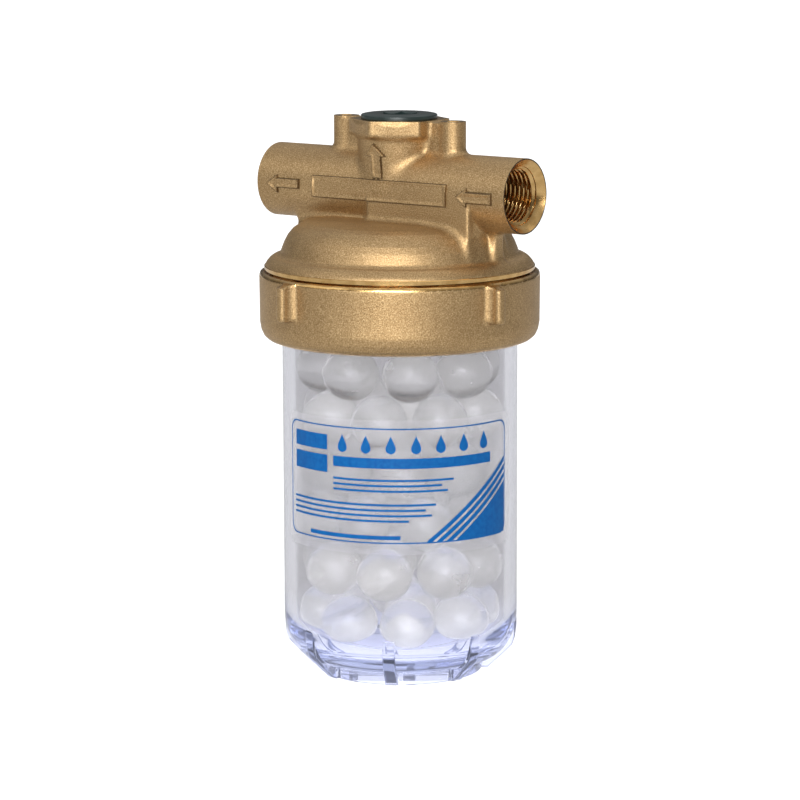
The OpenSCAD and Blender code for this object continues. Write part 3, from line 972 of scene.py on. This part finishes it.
def wrapped(strips, inner, outer):
    """Closed thin shells round the bowl, one for each strip between two lines of points."""
    points, faces = [], []
    for first, second, loop in strips:
        base, count = len(points), len(first)
        for radius in (inner, outer):
            points += [on_label(*spot, radius) for spot in first]
            points += [on_label(*spot, radius) for spot in second]
        a_in, b_in, a_out, b_out = (base + i * count for i in range(4))
        for i in range(count if loop else count - 1):
            j = (i + 1) % count
            faces += [(a_out + i, a_out + j, b_out + j, b_out + i),
                      (a_in + j, a_in + i, b_in + i, b_in + j),
                      (a_in + i, a_in + j, a_out + j, a_out + i),
                      (b_in + j, b_in + i, b_out + i, b_out + j)]
        if not loop:
            last = count - 1
            faces += [(a_in, a_out, b_out, b_in),
                      (a_in + last, b_in + last, b_out + last, a_out + last)]
    return points, faces


def bar(side0, side1, z0, z1, slope=0.0):
    """Plain printed bar."""
    sides = np.linspace(side0, side1, max(2, int(abs(side1 - side0) / 1.5)))
    return ([(s, z0) for s in sides], [(s, z1) for s in sides], False)


def rounded_loop(side0, side1, z0, z1, corner):
    """Points round a rectangle with round corners; corner is in millimetres."""
    spread = math.degrees(corner / LABEL_R)
    loop = []
    for cs, cz, start in ((side1 - spread, z1 - corner, 0), (side0 + spread, z1 - corner, 90),
                          (side0 + spread, z0 + corner, 180), (side1 - spread, z0 + corner, 270)):
        for a in np.radians(np.linspace(start, start + 90, 9)):
            loop.append((cs + spread * math.cos(a), cz + corner * math.sin(a)))
    dense = []
    for (s0, h0), (s1, h1) in zip(loop, loop[1:] + loop[:1]):
        steps = max(1, int(math.hypot((s1 - s0) / 2, (h1 - h0) / 4)))
        dense += [(s0 + (s1 - s0) * t / steps, h0 + (h1 - h0) * t / steps) for t in range(steps)]
    return dense


def frame_line(side0, side1, z0, z1, corner, width):
    """Printed border."""
    spread = math.degrees(width / LABEL_R)
    outer = rounded_loop(side0, side1, z0, z1, corner)
    middle = ((side0 + side1) / 2, (z0 + z1) / 2)
    shrink_s = 1 - 2 * spread / (side1 - side0)
    shrink_z = 1 - 2 * width / (z1 - z0)
    inner = [(middle[0] + (s - middle[0]) * shrink_s, middle[1] + (h - middle[1]) * shrink_z)
             for s, h in outer]
    return (inner, outer, True)


def drop(side, height, size):
    """Printed water drop."""
    left, right = [], []
    for t in np.linspace(0, 1, 15):
        half = 0.62 * size * math.sin(math.pi * t ** 0.62) * (1 - 0.35 * t) + 0.01
        h = height + size * (2 * t - 1)
        left.append((side - math.degrees(half / LABEL_R), h))
        right.append((side + math.degrees(half / LABEL_R), h))
    return (right, left, False)


def label_print():
    """Generic layout: border, blocks, drops, plain bars and a striped corner."""
    strips = [frame_line(-64.1, 60.2, 54.0, 94.8, 3.5, 0.45)]
    for foot, top in ((78.0, 84.2), (86.0, 91.4)):
        strips.append(bar(-59.5, -37, foot, top))
    strips.append(bar(-33.5, 48, 80.6, 84.2))
    for k in range(7):
        strips.append(drop(-28.5 + 12 * k, 88.9, 3.2))
    for z, side1 in ((76.0, 26), (74.1, 20), (72.2, 23)):
        strips.append(bar(-33.5, side1, z, z + 0.75))
    for z, side1 in ((67.3, 17), (65.4, 12), (63.5, 15), (61.6, 4)):
        strips.append(bar(-60.5, side1, z, z + 0.75))
    strips.append(bar(-48, 0, 55.4, 56.8))
    return strips + striped_corner()


def striped_corner():
    """Lower right corner of the print: plain slanting stripes over a solid triangle."""
    side0, side1, foot, rise = 12.0, 59.3, 54.4, 27.0
    sides = np.linspace(side0, side1, 60)
    slope = rise / (side1 - side0)
    strips, below = [], 0.0
    for thickness in (1.8, 1.8, 1.8, 40.0):
        top = [(s, max(foot, foot + slope * (s - side0) - below)) for s in sides]
        low = [(s, max(foot - 0.02, foot + slope * (s - side0) - below - thickness)) for s in sides]
        shown = [i for i, spot in enumerate(top) if spot[1] > foot + 0.05]
        strips.append(([low[i] for i in shown], [top[i] for i in shown], False))
        below += thickness + 1.1
    return strips


def build_label():
    """Clear film with round corners, and the print on it."""
    (side0, side1), corner = LABEL_SIDES, 3.0
    sides = np.linspace(side0, side1, 88)
    spread = math.degrees(corner / LABEL_R)
    lows, highs = [], []
    for s in sides:
        into = max(0.0, 1 - min(s - side0, side1 - s) / spread)
        cut = corner * (1 - math.sqrt(max(0.0, 1 - into * into)))
        lows.append((s, LABEL_FOOT + cut))
        highs.append((s, LABEL_TOP - cut))
    film = make_object("label_film", *wrapped([(lows, highs, False)], LABEL_R, LABEL_R + FILM_T), FILM)
    shade(film)
    hand_over(film, "bowl_group", "label_film", "label")
    ink = make_object("label_print", *wrapped(label_print(), PRINT_R, PRINT_R + INK_T), INK)
    shade(ink)
    hand_over(ink, "bowl_group", "label_film")


# ---------------------------------------------------------------- parts kept from the frame


def finish_frame_parts():
    """Procedural finishes for the seals and inner parts, whose CAD shape is right."""
    looks = {
        "top_plug_oring": RUBBER, "bowl_oring": RUBBER,
        "insert_oring_upper": RUBBER, "insert_oring_lower": RUBBER,
        "slip_washer": INNER_PLASTIC, "dosing_insert": INNER_PLASTIC,
        "strainer_basket": INNER_PLASTIC,
    }
    for name, material in looks.items():
        part = frame["nodes"][name]
        part.data.materials.clear()
        part.data.materials.append(material)
        part.data.shade_smooth()
        part.data.set_sharp_from_angle(angle=SHARP)


# ---------------------------------------------------------------- stage


FLOOR_R = 30000.0
FLOOR_GLOW = 0.56
BACKDROP = 1.0
DOME_STRENGTH = 0.55
DOME_LEVELS = ((0.0, 0.4), (0.47, 0.18), (0.58, 0.21), (0.75, 0.7), (1.0, 1.1))  # foot to zenith


def floor_material():
    """White sweep: a plain diffuse floor, lifted to white where it is seen directly or through glass."""
    n = Nodes("floor_look")
    grain = n.noise(3, 2, 0.5)
    colour = n.ramp(grain, (0.3, (0.74, 0.74, 0.74)), (0.7, (0.76, 0.76, 0.76)))
    shader = n.surface({"Base Color": colour}, Roughness=0.9, Specular_IOR_Level=0.0)
    path = n.add("ShaderNodeLightPath")
    seen = n.add("ShaderNodeMath", operation="MAXIMUM")
    n.link(path.outputs["Is Camera Ray"], seen.inputs[0])
    n.link(path.outputs["Is Transmission Ray"], seen.inputs[1])
    strength = n.add("ShaderNodeMath", operation="MULTIPLY")
    n.link(seen.outputs["Value"], strength.inputs[0])
    strength.inputs[1].default_value = FLOOR_GLOW
    glow = n.add("ShaderNodeEmission")
    n.link(strength.outputs["Value"], glow.inputs["Strength"])
    total = n.add("ShaderNodeAddShader")
    n.link(shader.outputs["BSDF"], total.inputs[0])
    n.link(glow.outputs["Emission"], total.inputs[1])
    n.link(total.outputs["Shader"], n.out.inputs["Surface"])
    return n.material


def build_stage():
    """Plain floor, a hair below the foot."""
    points, faces = turned([(-1.0, FLOOR_R), (-0.05, FLOOR_R)], 64)
    floor = make_object("floor", points, faces, floor_material())


def build_world():
    """White backdrop, and a soft studio dome that lights the object."""
    world = bpy.data.worlds.new("studio")
    bpy.context.scene.world = world
    world.use_nodes = True
    tree = world.node_tree
    tree.nodes.clear()
    out = tree.nodes.new("ShaderNodeOutputWorld")
    path = tree.nodes.new("ShaderNodeLightPath")
    place = tree.nodes.new("ShaderNodeTexCoord")
    split = tree.nodes.new("ShaderNodeSeparateXYZ")
    ramp = tree.nodes.new("ShaderNodeValToRGB")
    half = tree.nodes.new("ShaderNodeMapRange")
    half.inputs["From Min"].default_value = -1
    half.inputs["From Max"].default_value = 1
    while len(ramp.color_ramp.elements) < len(DOME_LEVELS):
        ramp.color_ramp.elements.new(0.5)
    for element, (spot, level) in zip(ramp.color_ramp.elements, DOME_LEVELS):
        element.position = spot
        element.color = (level, level, level, 1)
    white = tree.nodes.new("ShaderNodeBackground")
    white.inputs["Color"].default_value = (1, 1, 1, 1)
    white.inputs["Strength"].default_value = BACKDROP
    dome = tree.nodes.new("ShaderNodeBackground")
    dome.inputs["Strength"].default_value = DOME_STRENGTH
    mix = tree.nodes.new("ShaderNodeMixShader")
    link = tree.links.new
    link(place.outputs["Generated"], split.inputs["Vector"])
    link(split.outputs["Z"], half.inputs["Value"])
    link(half.outputs["Result"], ramp.inputs["Fac"])
    link(ramp.outputs["Color"], dome.inputs["Color"])
    seen = tree.nodes.new("ShaderNodeMath")
    seen.operation = "MAXIMUM"
    link(path.outputs["Is Camera Ray"], seen.inputs[0])
    link(path.outputs["Is Transmission Ray"], seen.inputs[1])
    link(seen.outputs["Value"], mix.inputs["Fac"])
    link(dome.outputs["Background"], mix.inputs[1])
    link(white.outputs["Background"], mix.inputs[2])
    link(mix.outputs["Shader"], out.inputs["Surface"])


def soft_sun(name, azimuth, elevation, width, strength):
    """Wide, even light from a direction, like a large softbox far away."""
    data = bpy.data.lights.new(name, "SUN")
    data.energy, data.angle = strength, math.radians(width)
    lamp = bpy.data.objects.new(name, data)
    a, e = math.radians(azimuth), math.radians(elevation)
    back = Vector((math.sin(a) * math.cos(e), -math.cos(a) * math.cos(e), math.sin(e)))
    lamp.rotation_euler = back.to_track_quat("Z", "Y").to_euler()
    bpy.context.scene.collection.objects.link(lamp)


def build_lights():
    """Frontal key, weak side light and weak light from behind and above."""
    soft_sun("key", CAMERA_AZIMUTH - 8, 19, 36, 3.1)
    soft_sun("side", CAMERA_AZIMUTH - 75, 35, 40, 0.3)
    soft_sun("top", CAMERA_AZIMUTH + 150, 72, 50, 0.35)


def build_camera():
    """Camera at the photograph's viewing angle."""
    azimuth, elevation, roll = math.radians(CAMERA_AZIMUTH), math.radians(9.68), math.radians(-0.175)
    distance = 1.2155
    target = Vector((-0.00004, 0, 0.0977))
    back = Vector((math.sin(azimuth) * math.cos(elevation),
                   -math.cos(azimuth) * math.cos(elevation), math.sin(elevation)))
    level = Vector((math.cos(azimuth), math.sin(azimuth), 0))
    right = math.cos(roll) * level + math.sin(roll) * back.cross(level)
    up = back.cross(right)
    data = bpy.data.cameras.new("camera")
    data.lens, data.sensor_width = 152.6, 36.0
    data.clip_start, data.clip_end = 0.05, 50.0
    camera = bpy.data.objects.new("camera", data)
    camera.matrix_world = Matrix((
        (right.x, up.x, back.x, 0), (right.y, up.y, back.y, 0), (right.z, up.z, back.z, 0),
        (0, 0, 0, 1)))
    camera.location = target + back * distance
    bpy.context.scene.collection.objects.link(camera)
    bpy.context.scene.camera = camera


def allow_deep_glass():
    """Enough bounces for light to pass the bowl, the film and several balls."""
    bpy.context.scene.view_settings.view_transform = "Standard"
    bpy.context.scene.cycles.max_bounces = 24
    bpy.context.scene.cycles.glossy_bounces = 12
    bpy.context.scene.cycles.transmission_bounces = 20


build_camera()
build_head()
build_lock_ring()
build_plug()
build_bowl()
build_balls()
build_label()
finish_frame_parts()
build_stage()
build_world()
build_lights()
allow_deep_glass()
